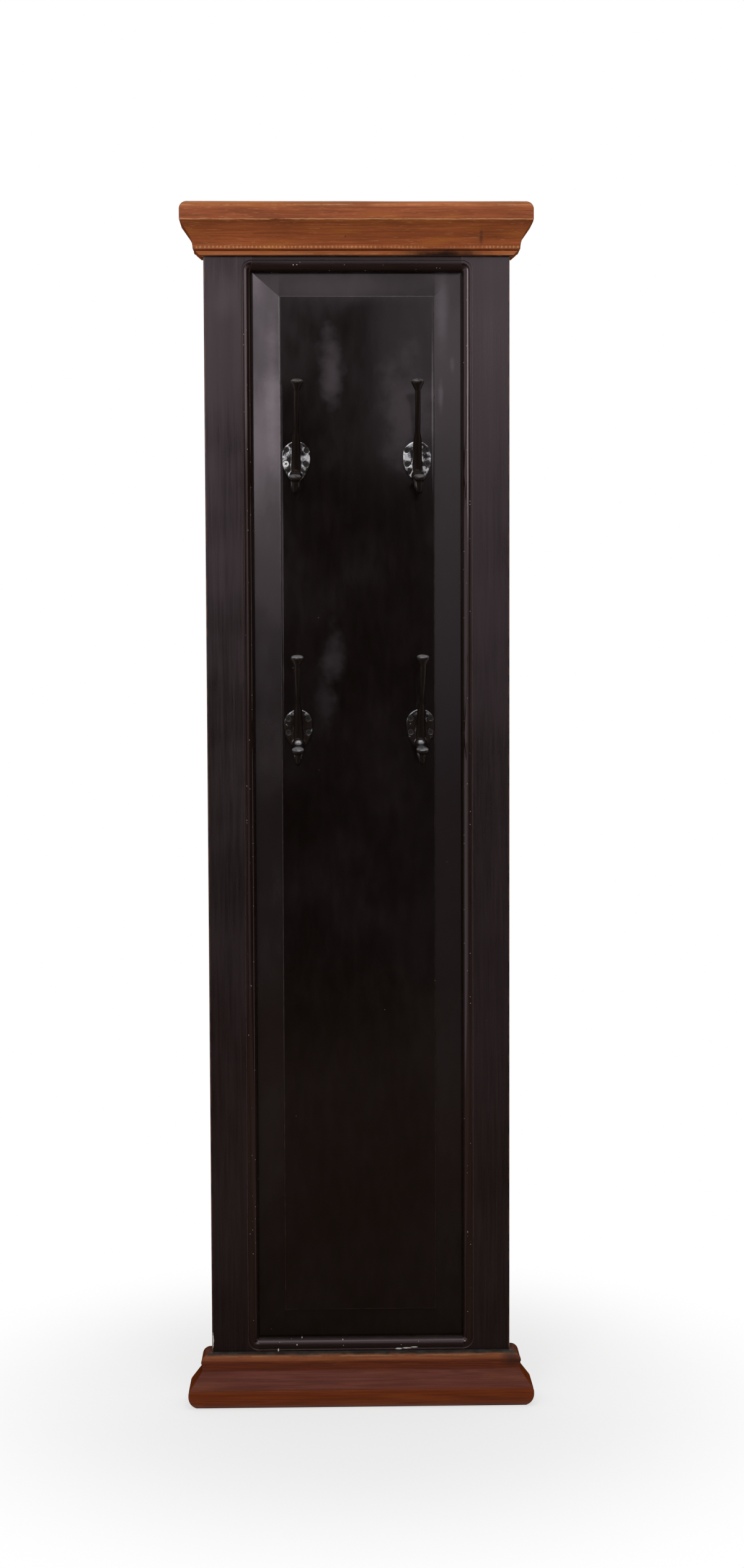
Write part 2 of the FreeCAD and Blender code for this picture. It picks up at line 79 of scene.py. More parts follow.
# Marks in the finishes: place across and up, reach, strength and how ragged the edge is
STILE_CHIPS = ((-0.2128, 0.0925, (0.0016, 0.01, 0.012), 0.9, 1.2),)
# The milky patch at the top of the left stile is a painted reflection of the studio's light.
STILE_PAINTED_REFLECTIONS = ((-0.186, 1.578, (0.026, 0.02, 0.045), 0.18, 0.8),)
RAIL_CHIPS = (
    (0.0545, 0.0769, (0.006, 0.008, 0.0011), 0.9, 1.0),
    (0.0655, 0.0775, (0.0075, 0.008, 0.0009), 0.9, 1.0),
    (0.0765, 0.0785, (0.006, 0.008, 0.001), 0.9, 1.0),
    (-0.1188, 0.0765, (0.0013, 0.01, 0.002), 0.9, 0.8),
    (-0.085, 0.0915, (0.0011, 0.03, 0.0012), 0.8, 0.8),
    (-0.0921, 0.0833, (0.0011, 0.03, 0.0012), 0.8, 0.8),
    (-0.0261, 0.0892, (0.0012, 0.03, 0.0012), 0.7, 0.8),
    (-0.0885, 1.6186, (0.0009, 0.03, 0.0011), 0.6, 0.8),
    (-0.0835, 1.6189, (0.0009, 0.03, 0.0009), 0.6, 0.8),
)
PANEL_CHIPS = ((-0.1191, 1.6112, (0.0011, 0.02, 0.0013), 0.8, 0.8),)
# FIELD_ARRIS places two thin painted highlight lines just inside the field's arrises. The panel's milky
# patches are painted reflections of the studio's light on the bevels and the field.
FIELD_ARRIS = FIELD_SIDE - 0.0022
PANEL_PAINTED_REFLECTIONS = (
    (-0.1199, 1.45, (0.016, 0.02, 0.14), 0.65, 1.0),
    (0.0, 1.592, (0.16, 0.02, 0.034), 0.2, 0.5),
    (0.1199, 1.555, (0.014, 0.02, 0.08), 0.4, 0.8),
    (-0.0355, 1.475, (0.022, 0.02, 0.075), 0.4, 1.5),
    (-0.034, 1.066, (0.02, 0.02, 0.055), 0.18, 1.6),
    (-0.047, 1.01, (0.02, 0.02, 0.06), 0.12, 1.6),
    (0.069, 1.42, (0.05, 0.02, 0.11), 0.24, 1.5),
    (0.1345, 1.4795, (0.006, 0.02, 0.016), 0.4, 1.5),
    (0.1179, 1.4365, (0.005, 0.02, 0.03), 0.4, 1.2),
    (FIELD_ARRIS, 1.425, (0.0016, 0.02, 0.16), 0.9, 0.8),
    (-FIELD_ARRIS, 1.23, (0.0016, 0.02, 0.35), 0.5, 0.8),
)
CROWN_BLOTS = (
    (-0.0158, 1.654, (0.0018, 0.05, 0.0018), 0.85, 0.5),
    (0.1727, 1.6535, (0.004, 0.05, 0.016), 0.6, 0.8),
    (0.12, CROWN_LOW + 0.002, (0.09, 0.05, 0.011), 1.0, 0.4),
)
BASE_BLOTS = ((0.216, 0.0665, (0.024, 0.05, 0.019), 0.85, 0.5),)

# Wear of the mouldings: it grows with the reach from the board and the height over the foot, the top
# edge sags over a depth, edges that turn by a large angle stay sharp, and each moulding strays its own way
WEAR_REACH = (0.001, 0.004)
WEAR_FOOT = 0.003
SAG_DEPTH = 0.012
SHARP_FROM = math.radians(38.0)
CROWN_SEED = 1.7
BASE_SEED = 6.1

# The point that the softboxes face, and the gap between the floor and the studio cards
LIGHT_AIM = Vector((0.0, 0.0, 1.0))
CARD_LIFT = 0.004

X_AXIS = Vector((1.0, 0.0, 0.0))
Y_AXIS = Vector((0.0, 1.0, 0.0))
Z_AXIS = Vector((0.0, 0.0, 1.0))
WHITE = (1.0, 1.0, 1.0)
SIDES = ("left", "right")


def length(name, description, default):
    """A size in metres."""
    return FloatProperty(name=name, description=description, default=default, precision=5, unit="LENGTH")


def colour(name, description, default):
    """A plain colour, as light adds up."""
    return FloatVectorProperty(name=name, description=description, default=default, subtype="COLOR")


def angle(name, description, degrees):
    """A turn, given in degrees."""
    return FloatProperty(name=name, description=description, default=math.radians(degrees), subtype="ANGLE")


def power(name, description, default):
    """The strength of a lamp in watts."""
    return FloatProperty(name=name, description=description, default=default, unit="POWER")


class RackSizes(PropertyGroup):
    """Sizes of the wear on the mouldings and of the casting's skin"""

    moulding_step: length("Moulding step", "Length of one slice of a moulding", 0.0016)
    outline_step: length("Outline step", "Longest straight piece of a moulding's outline", 0.0025)
    waver: length("Waver", "How far a hand-worked moulding strays from straight", 0.0006)
    waver_run: length("Waver run", "Length of one stray along a moulding", 0.09)
    dent: length("Dent", "Deepest dent in an arris", 0.0007)
    dent_run: length("Dent run", "Length of one dent along an arris", 0.012)
    corner_reach: length("Corner reach", "How far a rubbed corner runs along the moulding", 0.009)
    crown_rub_left: length("Left crown rub", "Wood rubbed off the crown's left corner", 0.0004)
    crown_rub_right: length("Right crown rub", "Wood rubbed off the crown's right corner", 0.0008)
    base_rub: length("Base rub", "Wood rubbed off the base's corners", 0.0005)
    quirk_width: length("Quirk width", "Width of the fine groove under the crown's cove", 0.0016)
    quirk_depth: length("Quirk depth", "Depth of the fine groove under the crown's cove", 0.0011)
    chatter_pitch: length("Chatter pitch", "Distance between the cutter's marks on the crown", 0.0055)
    chatter_depth: length("Chatter depth", "Depth of the cutter's marks on the crown", 0.0006)
    casting_voxel: length("Casting voxel", "Fineness of the hooks' cast skin", 0.0007)


class RackColours(PropertyGroup):
    """Colours of the finishes"""

    lacquer: colour("Lacquer", "Black lacquer", (0.0034, 0.0022, 0.0016))
    lacquer_haze: colour("Lacquer haze", "Dulled lacquer", (0.0085, 0.0057, 0.005))
    sheen: colour("Sheen", "Tint of the light the frame's lacquer mirrors", (1.0, 0.78, 0.88))
    panel_sheen: colour("Panel sheen", "Tint of the light the panel's lacquer mirrors", (1.0, 0.85, 0.94))
    # A milky colour laid on the lacquer as painted reflections and painted highlight lines.
    painted_reflection: colour("Bloom", "Milky bloom on the lacquer", (0.1, 0.083, 0.095))
    rubbed_wood: colour("Rubbed wood", "Red-brown wood where lacquer has worn through", (0.11, 0.045, 0.022))
    ground: colour("Ground", "White ground in the chips", (0.62, 0.6, 0.56))
    raw_wood: colour("Raw wood", "Bare wood of the back", (0.3, 0.19, 0.105))
    raw_wood_dark: colour("Dark raw wood", "Grain of the bare back", (0.15, 0.085, 0.043))
    # Pale stain for flecks and cutter marks, also laid as painted highlights along the arrises.
    stain_light: colour("Light stain", "Worn, pale parts of the crown", (0.5, 0.26, 0.12))
    stain: colour("Stain", "Orange-brown stain", (0.263, 0.067, 0.02))
    stain_band: colour("Band stain", "Bright stain of the crown's lowest band", (0.46, 0.132, 0.043))
    stain_warm: colour("Warm stain", "Yellower patches of the stain", (0.31, 0.098, 0.014))
    # A painted shade: the cove darkened under the overhang of the crown's upper face, and the returns' lower
    # part.
    stain_painted_shade: colour("Shaded stain", "Stain under the edge of the crown's upper face", (0.2, 0.05, 0.013))
    stain_dark: colour("Dark stain", "Stain that has pooled", (0.075, 0.015, 0.004))
    fascia_stain: colour("Fascia stain", "Stain of the crown's upper face", (0.234, 0.061, 0.022))
    # A lighter stain over the crown's rounded top.
    top_stain: colour("Faded stain", "Sun-faded stain of the crown's rounded top", (0.312, 0.094, 0.03))
    base_stain: colour("Base stain", "Red-brown stain of the base", (0.1, 0.0255, 0.016))
    nose_stain: colour("Nose stain", "Stain of the base's rounded top", (0.18, 0.051, 0.018))
    # Stain under the base's rounded top, darkened further as painted shade under its overhang.
    neck_stain_and_shade: colour("Neck stain", "Stain pooled under the base's rounded top", (0.1, 0.021, 0.0075))
    toe_stain: colour("Toe stain", "Stain of the base's foot", (0.135, 0.0255, 0.0045))
    # A dark colour for blots on the wood, and painted shade along the crown's underside.
    dark_mark_and_shade: colour("Scorch", "Darkened, burnt-looking wood", (0.028, 0.0125, 0.009))
    iron: colour("Iron", "Black paint on the hooks", (0.0075, 0.005, 0.0042))
    iron_sheen: colour("Iron sheen", "Tint of the light the hooks' paint mirrors", (1.0, 0.8, 0.72))
    dull_iron: colour("Dull iron", "Grey metal under thin paint", (0.032, 0.029, 0.032))
    # Bare metal of worn patches, also laid on as painted glints on the hooks' lit rims, arm tops and spots.
    bare_iron_and_glint: colour("Bright iron", "Metal where the paint has rubbed off", (0.42, 0.42, 0.44))
    zinc: colour("Zinc", "Bright plated steel", (0.68, 0.68, 0.66))
    dark_steel: colour("Dark steel", "Blackened screws", (0.02, 0.018, 0.017))
    nail: colour("Nail", "Dull steel nail heads", (0.06, 0.035, 0.022))
    peg: colour("Peg", "Pegs of pale hardwood", (0.36, 0.24, 0.13))
    dust: colour("Dust", "Dust on the top faces", (0.2, 0.18, 0.16))
    floor: colour("Floor", "Pale floor", (0.86, 0.86, 0.86))
    dark_card: colour("Dark card", "Card behind the camera that darkens the panel", (0.02, 0.016, 0.015))
    floor_cloth: colour("Floor cloth", "Brown cloth in the gloss of the lacquer's foot", (0.23, 0.155, 0.11))
    outer_cloth: colour("Outer cloth", "Floor cloth that the panel's bevels mirror", (0.42, 0.3, 0.235))
    outer_card: colour("Outer card", "Card that the panel's left bevel mirrors", (0.47, 0.39, 0.38))
    # A cloth that glows though it is no lamp: a painted light that only reflections show.
    glowing_card: colour("Bright card", "Lit cloth that brightens the panel's left bevel", (0.9, 0.9, 0.9))
    left_card: colour("Left card", "Card that the left of the lacquer mirrors", (0.18, 0.145, 0.138))
    right_card: colour("Right card", "Card that the right of the lacquer mirrors", (0.66, 0.57, 0.58))


class RackStage(PropertyGroup):
    """The camera and the light"""

    camera_place: FloatVectorProperty(
        name="Camera place", description="Where the camera stands", default=(-0.0447, -3.0601, 1.0708),
        subtype="XYZ", unit="LENGTH")
    camera_turn: angle("Camera turn", "Turn to the right", 1.199)
    camera_dip: angle("Camera dip", "Tilt below the horizon", 3.383)
    camera_roll: angle("Camera roll", "Roll about the line of sight", -0.212)
    lens: FloatProperty(name="Lens", description="Focal length in millimetres", default=49.22, unit="CAMERA")
    key_power: power("Key", "Left softbox", 14.0)
    fill_power: power("Fill", "Right softbox", 11.0)
    top_power: power("Top", "Overhead softbox", 30.0)
    sky: FloatProperty(name="Sky", description="Soft light from all round", default=0.5)


# Node trees, worked out with plain arithmetic


class Value:
    """A number, colour or vector that changes over a surface: the output of a node."""

    def __init__(self, socket):
        self.socket = socket
        self.tree = socket.id_data

    def work_out(self, operation, other=0.0, clamp=False):
        """One sum with another number."""
        inputs = {0: self, 1: other}
        return output_of(self.tree, "Math", 0, inputs, operation=operation, use_clamp=clamp)

    def __add__(self, other):
        return self.work_out("ADD", other)

    def __sub__(self, other):
        return self.work_out("SUBTRACT", other)

    def __rsub__(self, other):
        return output_of(self.tree, "Math", 0, {0: other, 1: self}, operation="SUBTRACT")

    def __mul__(self, other):
        return self.work_out("MULTIPLY", other)

    def __abs__(self):
        return self.work_out("ABSOLUTE")

    def at_least(self, other):
        """The larger of two numbers."""
        return self.work_out("MAXIMUM", other)

    def between(self, low, high, to_low=0.0, to_high=1.0):
        """A smooth step from one range to another."""
        inputs = {"Value": self, "From Min": low, "From Max": high, "To Min": to_low, "To Max": to_high}
        settings = {"interpolation_type": "SMOOTHSTEP", "clamp": True}
        return output_of(self.tree, "MapRange", "Result", inputs, **settings)

    def mix(self, first, second):
        """A mix of two colours, with this share of the second."""
        return output_of(self.tree, "Mix", 2, {0: self, 6: first, 7: second}, data_type="RGBA")

    def part(self, axis):
        """One of the three numbers of a vector."""
        return output_of(self.tree, "SeparateXYZ", axis, {"Vector": self})

    def vectors(self, operation, inputs=None, output="Vector"):
        """One sum on this vector."""
        inputs = {0: self, **(inputs or {})}
        return output_of(self.tree, "VectorMath", output, inputs, operation=operation)

    def size(self):
        """The length of a vector."""
        return self.vectors("LENGTH", output="Value")

    def cloud(self, scale, detail=3.0, rough=0.5, twist=0.0):
        """Soft noise between 0 and 1 at a place."""
        inputs = {"Vector": self, "Scale": scale, "Detail": detail, "Roughness": rough, "Distortion": twist}
        return output_of(self.tree, "TexNoise", "Fac", inputs)

    def drawn_out(self, along, across, lengthwise):
        """A place scaled across and along an axis, so that noise there is drawn out along a grain."""
        scale = [lengthwise if share else across for share in along]
        return output_of(self.tree, "Mapping", "Vector", {"Vector": self, "Scale": scale})

    def bump(self, strength, distance, under=None):
        """A bump of this height, on top of another one where there is one."""
        inputs = {"Height": self, "Strength": strength, "Distance": distance}
        if under is not None:
            inputs["Normal"] = under
        return output_of(self.tree, "Bump", "Normal", inputs)


def feed(socket, value):
    """Links a socket to a value, or sets a plain number or colour on it."""
    if isinstance(value, Value):
        socket.id_data.links.new(value.socket, socket)
    elif socket.type == "RGBA":
        socket.default_value = (*value[:3], 1.0)
    else:
        socket.default_value = value


def put(tree, kind, inputs=None, **settings):
    """Adds a shader node, sets its options, and links or sets its inputs."""
    node = tree.nodes.new("ShaderNode" + kind)
    for key, value in settings.items():
        setattr(node, key, value)
    for key, value in (inputs or {}).items():
        feed(node.inputs[key], value)
    return node


def output_of(tree, kind, output, inputs=None, **settings):
    """Adds a node and gives one of its outputs."""
    return Value(put(tree, kind, inputs, **settings).outputs[output])


def outputs_of(node):
    """All the outputs of a node, by name."""
    return {socket.name: Value(socket) for socket in node.outputs}


def own_place(tree):
    """The piece's own coordinates, which are the board's."""
    return output_of(tree, "TexCoord", "Object")


def own_facing(tree):
    """The way a face looks, in the board's own directions."""
    return output_of(tree, "TexCoord", "Normal")


# Effects that several finishes share


def new_group(effect):
    """Builds an effect's shader group. An input without a default is a vector, and so is a normal."""
    group = bpy.data.node_groups.new(effect.__name__, "ShaderNodeTree")
    for label, default in effect.__kwdefaults__.items():
        kind = "NodeSocketVector" if default is None else "NodeSocketFloat"
        socket = group.interface.new_socket(name=label, in_out="INPUT", socket_type=kind)
        if default is not None:
            socket.default_value = default
    given = outputs_of(group.nodes.new("NodeGroupInput"))
    made = effect(group, **{label: given[label] for label in effect.__kwdefaults__})
    for label in made:
        kind = "NodeSocketVector" if label == "normal" else "NodeSocketFloat"
        group.interface.new_socket(name=label, in_out="OUTPUT", socket_type=kind)
    wanted = group.nodes.new("NodeGroupOutput").inputs
    for label, value in made.items():
        feed(wanted[label], value)
    return group


def placed(tree, effect, **inputs):
    """Places a shared effect with its own values, and gives its outputs. The first call builds its group."""
    group = bpy.data.node_groups.get(effect.__name__) or new_group(effect)
    return outputs_of(put(tree, "Group", inputs, node_tree=group))


def wood_grain(tree, *, vector=None, rings=22.0):
    """Growth rings, fine streaks and pores at a place drawn out along the grain."""
    broad = vector.cloud(1.0, 2.0, 0.45, 0.5)
    growth = (broad * rings).work_out("SINE") * 0.5 + 0.5
    streak = vector.cloud(6.0, 6.0, 0.72)
    pores = vector.cloud(26.0, 2.0, 0.5).between(0.6, 0.72)
    return {"figure": growth * 0.18 + streak * 0.82, "pores": pores}


def edge_wear(tree, *, radius=0.001, cover=0.5, scale=90.0):
    """Two masks along the arrises, one worn through and one polished, and the normal of the eased edges."""
    here = own_place(tree)
    rounded = output_of(tree, "Bevel", "Normal", {"Radius": radius}, samples=4)
    straight = output_of(tree, "NewGeometry", "Normal")
    edge = rounded.vectors("DOT_PRODUCT", {1: straight}, "Value").between(0.995, 0.9)
    limit = 1.0 - cover
    torn = here.cloud(scale, 5.0, 0.6).between(limit - 0.08, limit + 0.08)
    handled = here.cloud(18.0, 5.0, 0.6).between(0.22, 0.38)
    return {"worn": edge * torn, "polished": edge * handled, "normal": rounded}


def moulded_edge(tree, *, width=MOULDED_EDGE):
    """The frame's inner edge, from the opening out to the step of its moulding."""
    here = own_place(tree)
    middle = 0.5 * (OPENING_LOW + OPENING_HIGH)
    soft_edge = 0.0008
    aside = abs(here.part("X")) - OPENING_SIDE
    beyond = abs(here.part("Z") - middle) - (OPENING_HIGH - middle)
    away = {"X": aside.at_least(0.0), "Y": beyond.at_least(0.0)}
    far = output_of(tree, "CombineXYZ", "Vector", away).size()
    return {"mask": far.between(width, width - soft_edge)}


def ragged_spot(tree, *, place=None, reach=None, ragged=0.5, scale=160.0, soft=0.5):
    """A soft-edged spot at a place on the board."""
    here = own_place(tree)
    away = here.vectors("SUBTRACT", {1: place}).vectors("DIVIDE", {1: reach})
    far = away.size() + (here.cloud(scale, 3.0, 0.6) - 0.5) * ragged
    return {"mask": far.between(1.0, 1.0 - soft)}


def settled_dust(tree, *, amount=0.5):
    """Dust on the faces that look up."""
    upward = own_facing(tree).part("Z").between(0.6, 0.98)
    patchy = own_place(tree).cloud(70.0, 4.0, 0.6).between(0.25, 0.75, 0.35, 1.0)
    return {"mask": upward * patchy * amount}


def brush_marks(tree, *, vector=None):
    """Long faint marks of the brush, and a slow swell under them."""
    return {"marks": vector.cloud(9.0, 3.0, 0.6), "swell": vector.cloud(1.0, 1.0, 0.4)}


def broken_line(tree, *, height=0.0, width=0.001, cover=0.5, scale=30.0):
    """A broken line along a moulding at one height."""
    here = own_place(tree)
    wander = 0.002
    level = here.part("Z") + (here.cloud(45.0, 3.0, 0.6) - 0.5) * wander
    line = abs(level - height).between(width, 0.0)
    limit = 1.0 - cover
    broken = here.cloud(scale, 5.0, 0.7).between(limit - 0.12, limit + 0.12)
    return {"mask": line * broken}


def fine_specks(tree, *, scale=120.0, size=0.12):
    """Sparse small specks."""
    cells = outputs_of(put(tree, "TexVoronoi", {"Vector": own_place(tree), "Scale": scale}))
    near = cells["Distance"].between(size, size * 0.5)
    picked = cells["Color"].part("X").between(0.86, 0.9)
    return {"mask": near * picked}


# Finishes


def finish(shader, **values):
    """Links or sets sockets of a Principled shader."""
    for key, value in values.items():
        feed(shader[key.replace("_", " ")], value)


def new_finish(name, **plain):
    """A material with one Principled shader, and the plain values set on its own sockets."""
    material = bpy.data.materials.new(name)
    material.use_nodes = True
    tree = material.node_tree
    shader = tree.nodes["Principled BSDF"].inputs
    finish(shader, **plain)
    return material, tree, shader


def back_wood(tree, colours, front, along):
    """The bare wood of the back, with its grain along the piece, mixed over the finish of the front."""
    grain = placed(tree, wood_grain, vector=own_place(tree).drawn_out(along, 60.0, 3.0), rings=18.0)
    bare = grain["figure"].between(0.3, 0.7).mix(colours.raw_wood_dark, colours.raw_wood)
    bare = (grain["pores"] * 0.5).mix(bare, colours.raw_wood_dark)
    behind = own_facing(tree).part("Y").between(0.45, 0.6)
    return behind.mix(front, bare), behind


def with_marks(tree, base, face, tint, marks, soft=0.5, scale=160.0):
    """Lays a colour over the base in the marks on a face."""
    for across, up, reach, strength, ragged in marks:
        shape = {"place": (across, face, up), "reach": reach, "ragged": ragged, "scale": scale, "soft": soft}
        base = (placed(tree, ragged_spot, **shape)["mask"] * strength).mix(base, tint)
    return base


def front_wear(here, worn, face):
    """Wear along the front arrises of a face, and down the board's outer corners."""
    depth = here.part("Y")
    wear_depth = face + ARRIS_DEPTH
    fade, corner_in, corner_out, corner_back, corner_front = 0.0006, 0.0024, 0.0008, 0.005, 0.002
    arris = worn * depth.between(wear_depth, wear_depth - fade)
    corner = abs(here.part("X")).between(BOARD_SIDE - corner_in, BOARD_SIDE - corner_out)
    corner = corner * depth.between(BOARD_FRONT + corner_back, BOARD_FRONT + corner_front)
    corner = corner * here.cloud(48.0, 5.0, 0.6).between(0.36, 0.6)
    return arris.at_least(corner)


def lacquer(name, colours, look, face, chips, painted_reflections):
    """Black lacquer with brush marks, haze, painted reflections, wear along the front arrises and a bare
    back.
    """
    plain = {"Specular_IOR_Level": look["mirror"], "Specular_Tint": look["sheen"], "Coat_Roughness": 0.22}
    material, tree, shader = new_finish(name, **plain)
    here = own_place(tree)
    brush = placed(tree, brush_marks, vector=here.drawn_out(look["along"], *look["brush"]))
    marks = brush["marks"]
    patches = here.cloud(5.0, 3.0, 0.55).between(0.35, 0.7)
    haze = (marks.between(0.3, 0.75) * look["streak"]).work_out("ADD", patches * 0.4, clamp=True)
    tone = haze.mix(colours.lacquer, colours.lacquer_haze)
    # Painted reflections: milky patches where the studio's light mirrors in the lacquer, and highlight lines
    # inside the field's arrises.
    tone = with_marks(tree, tone, face, colours.painted_reflection, painted_reflections, 1.0, 26.0)
    tone = with_marks(tree, tone, face, colours.ground, chips)
    edges = placed(tree, edge_wear, radius=0.0013, cover=look["worn"], scale=75.0)
    tone = (front_wear(here, edges["worn"], face) * 0.75).mix(tone, colours.rubbed_wood)
    specks = placed(tree, fine_specks, scale=55.0, size=0.05)["mask"]
    tone = (specks * 0.3).mix(tone, colours.dust)
    moulded = placed(tree, moulded_edge, width=MOULDED_EDGE)["mask"]
    tone = (moulded * look["bared"]).mix(tone, colours.rubbed_wood)
    grit = placed(tree, fine_specks, scale=240.0, size=0.16)["mask"]
    tone = (grit * moulded * look["grit"]).mix(tone, colours.ground)
    dust = placed(tree, settled_dust, amount=0.06)["mask"]
    tone, behind = back_wood(tree, colours, dust.mix(tone, colours.dust), look["along"])
    bevel_foot = FIELD_SIDE + 0.003
    rough = (marks * look["streak"] + patches * 0.5).between(0.1, 0.9, *look["rough"])
    rough = rough * moulded.between(0.0, 1.0, 1.0, look["edge_rough"])
    rough = rough * abs(here.part("X")).between(FIELD_SIDE, bevel_foot, 1.0, look["side_rough"])
    rough = rough.at_least((dust + behind) * 0.75)
    swell = brush["swell"].bump(0.35, 0.002, edges["normal"])
    relief = marks.bump(0.12 * look["streak"], 0.0006, swell)
    polish = edges["polished"] * look["polish"]
    finish(shader, Base_Color=tone, Roughness=rough, Coat_Weight=polish, Normal=relief)
    return material


def zone_tint(tree, zones):
    """A colour for each height of a moulding. A zone is its height in metres and its colour."""
    low, high = zones[0][0], zones[-1][0]
    inputs = {"Value": own_place(tree).part("Z"), "From Min": low, "From Max": high}
    ramp = put(tree, "ValToRGB", {"Fac": output_of(tree, "MapRange", "Result", inputs)})
    stops = ramp.color_ramp.elements
    while len(stops) < len(zones):
        stops.new(0.5)
    for stop, (place, tint) in zip(stops, zones):
        stop.position = (place - low) / (high - low)
        stop.color = (*tint, 1.0)
    return Value(ramp.outputs["Color"])


def cutter_marks(tree, height, width, pitch):
    """Pale marks of the cutter at one height, a pitch apart and broken along the moulding."""
    here = own_place(tree)
    line = placed(tree, broken_line, height=height, width=width, cover=0.56, scale=9.0)["mask"]
    turns = here.part("X") * (math.tau / pitch) + here.cloud(60.0) * 7.0
    return line * turns.work_out("SINE").between(0.0, 0.9, 0.2, 1.0)


def ledge_paint(tree, ledge):
    """Black lacquer that runs over the flat top of a moulding, down to its rounded edge."""
    here = own_place(tree)
    bare_below, full_above = 0.006, 0.003
    grime = here.cloud(60.0, 3.0, 0.6).between(0.0, 1.0, -0.1, 0.1)
    flat = (own_facing(tree).part("Z") + grime).between(0.7, 0.97)
    return flat * here.part("Z").between(ledge - bare_below, ledge - full_above)


def stained_wood(name, colours, along, zones, gloss=0.08, lines=(), blots=(), chatter=None, ledge=None,
                 fleck=0.0, warm=0.1):
    """Stained wood with its grain along the moulding, and broken pale lines along the arrises: rubbed wood
    and painted highlights.
    """
    material, tree, shader = new_finish(name, Specular_IOR_Level=gloss)
    here = own_place(tree)
    grain = placed(tree, wood_grain, vector=here.drawn_out(along, 95.0, 3.0), rings=34.0)
    figure = grain["figure"]
    tone = zone_tint(tree, zones).vectors("SCALE", {"Scale": figure.between(0.3, 0.7, 0.78, 1.2)})
    tone = (grain["pores"] * 0.3).mix(tone, colours.stain_dark)
    patches = here.drawn_out(along, 24.0, 8.0).cloud(1.0).between(0.45, 0.75)
    tone = (patches * 0.35).mix(tone, colours.stain_dark)
    warmth = here.drawn_out(along, 60.0, 10.0).cloud(1.0, 3.0, 0.55)
    tone = warmth.between(0.52, 0.72, 0.0, warm).mix(tone, colours.stain_warm)
    flecks = here.drawn_out(along, 700.0, 60.0).cloud(1.0, 3.0, 0.6)
    tone = flecks.between(0.58, 0.72, 0.0, fleck).mix(tone, colours.stain_light)
    for height, width, cover, strength in lines:
        mask = placed(tree, broken_line, height=height, width=width, cover=cover)["mask"]
        tone = (mask * strength).mix(tone, colours.stain_light)
    if chatter is not None:
        tone = (cutter_marks(tree, *chatter) * 0.65).mix(tone, colours.stain_light)
    tone = with_marks(tree, tone, BOARD_FRONT, colours.dark_mark_and_shade, blots, 0.9, 60.0)
    if ledge is not None:
        tone = ledge_paint(tree, ledge).mix(tone, colours.lacquer)
    tone = placed(tree, settled_dust, amount=0.2)["mask"].mix(tone, colours.dust)
    relief = (figure - grain["pores"] * 0.6).bump(0.25, 0.0004)
    finish(shader, Base_Color=tone, Roughness=figure.between(0.2, 0.8, 0.56, 0.4), Normal=relief)
    return material


def hook_iron(name, colours, rub, rim_glint, rim_side, arm_wear_and_glint, painted_glint_spots=()):
    """Black painted cast iron, rubbed to bare metal on its plate; the bare metal on its lit rim, its arms'
    tops and the spots is partly painted glint.
    """
    material, tree, shader = new_finish(name, Specular_IOR_Level=0.13, Specular_Tint=colours.iron_sheen)
    here = own_place(tree)
    facing = own_facing(tree)
    depth = here.part("Y")
    lumps = here.cloud(320.0, 4.0, 0.6)
    patches = here.cloud(110.0, 3.0, 0.55)
    plate_out, plate_in, arms_in, arms_out = 0.0016, 0.0004, 0.012, 0.03
    on_plate = depth.between(PLATE_FACE - plate_out, PLATE_FACE - plate_in)
    on_arms = depth.between(PLATE_FACE - arms_in, PLATE_FACE - arms_out)
    # Where the plate's rim faces up and to the left, toward the lamps, it is bared as a painted glint.
    painted_rim_glint = (facing.part("Z") - facing.part("X") * rim_side).between(0.15, 0.6) * rim_glint
    bare = patches.between(0.7 - rub, 0.85 - rub).at_least(painted_rim_glint) * on_plate
    # The arms' upper faces are bared: coat wear, and painted glints where the light from above falls.
    worn_and_glinting_tops = on_arms * facing.part("Z").between(0.2, 0.75) * patches.between(0.36, 0.6, 0.25, 1.0)
    bare = bare.at_least(worn_and_glinting_tops * arm_wear_and_glint)
    # Listed spots of bare metal are painted glints.
    for place, reach in painted_glint_spots:
        spot = placed(tree, ragged_spot, place=place, reach=reach, ragged=0.9, scale=240.0, soft=0.7)
        bare = bare.at_least(spot["mask"] * 0.8)
    metal = patches.between(0.44, 0.6).mix(colours.dull_iron, colours.bare_iron_and_glint)
    tone = bare.mix(colours.iron, painted_rim_glint.mix(metal, colours.bare_iron_and_glint))
    rough = lumps.between(0.25, 0.75, 0.26, 0.42)
    finish(shader, Base_Color=tone, Metallic=bare * 0.9, Roughness=rough, Normal=lumps.bump(0.3, 0.0006))
    return material


def plain_metal(name, colours, tint, metallic, rough, face=None):
    """Scratched metal of screws, hangers and nails. A screw whose face is given has dirt in its recess."""
    material, tree, shader = new_finish(name, Metallic=metallic, Specular_IOR_Level=0.2)
    here = own_place(tree)
    scratches = here.drawn_out(Z_AXIS, 1.0, 6.0).cloud(420.0, 3.0, 0.6)
    dirt = here.cloud(900.0, 3.0, 0.6).between(0.45, 0.7, 0.0, 0.45)
    if face is not None:
        clean_to, dirty_from = 0.0002, 0.0007
        dirt = dirt.at_least(here.part("Y").between(face + clean_to, face + dirty_from))
    tone = dirt.mix(tint, colours.dark_steel)
    rough = scratches.between(0.25, 0.75, *rough)
    finish(shader, Base_Color=tone, Roughness=rough, Normal=scratches.bump(0.2, 0.0003))
    return material


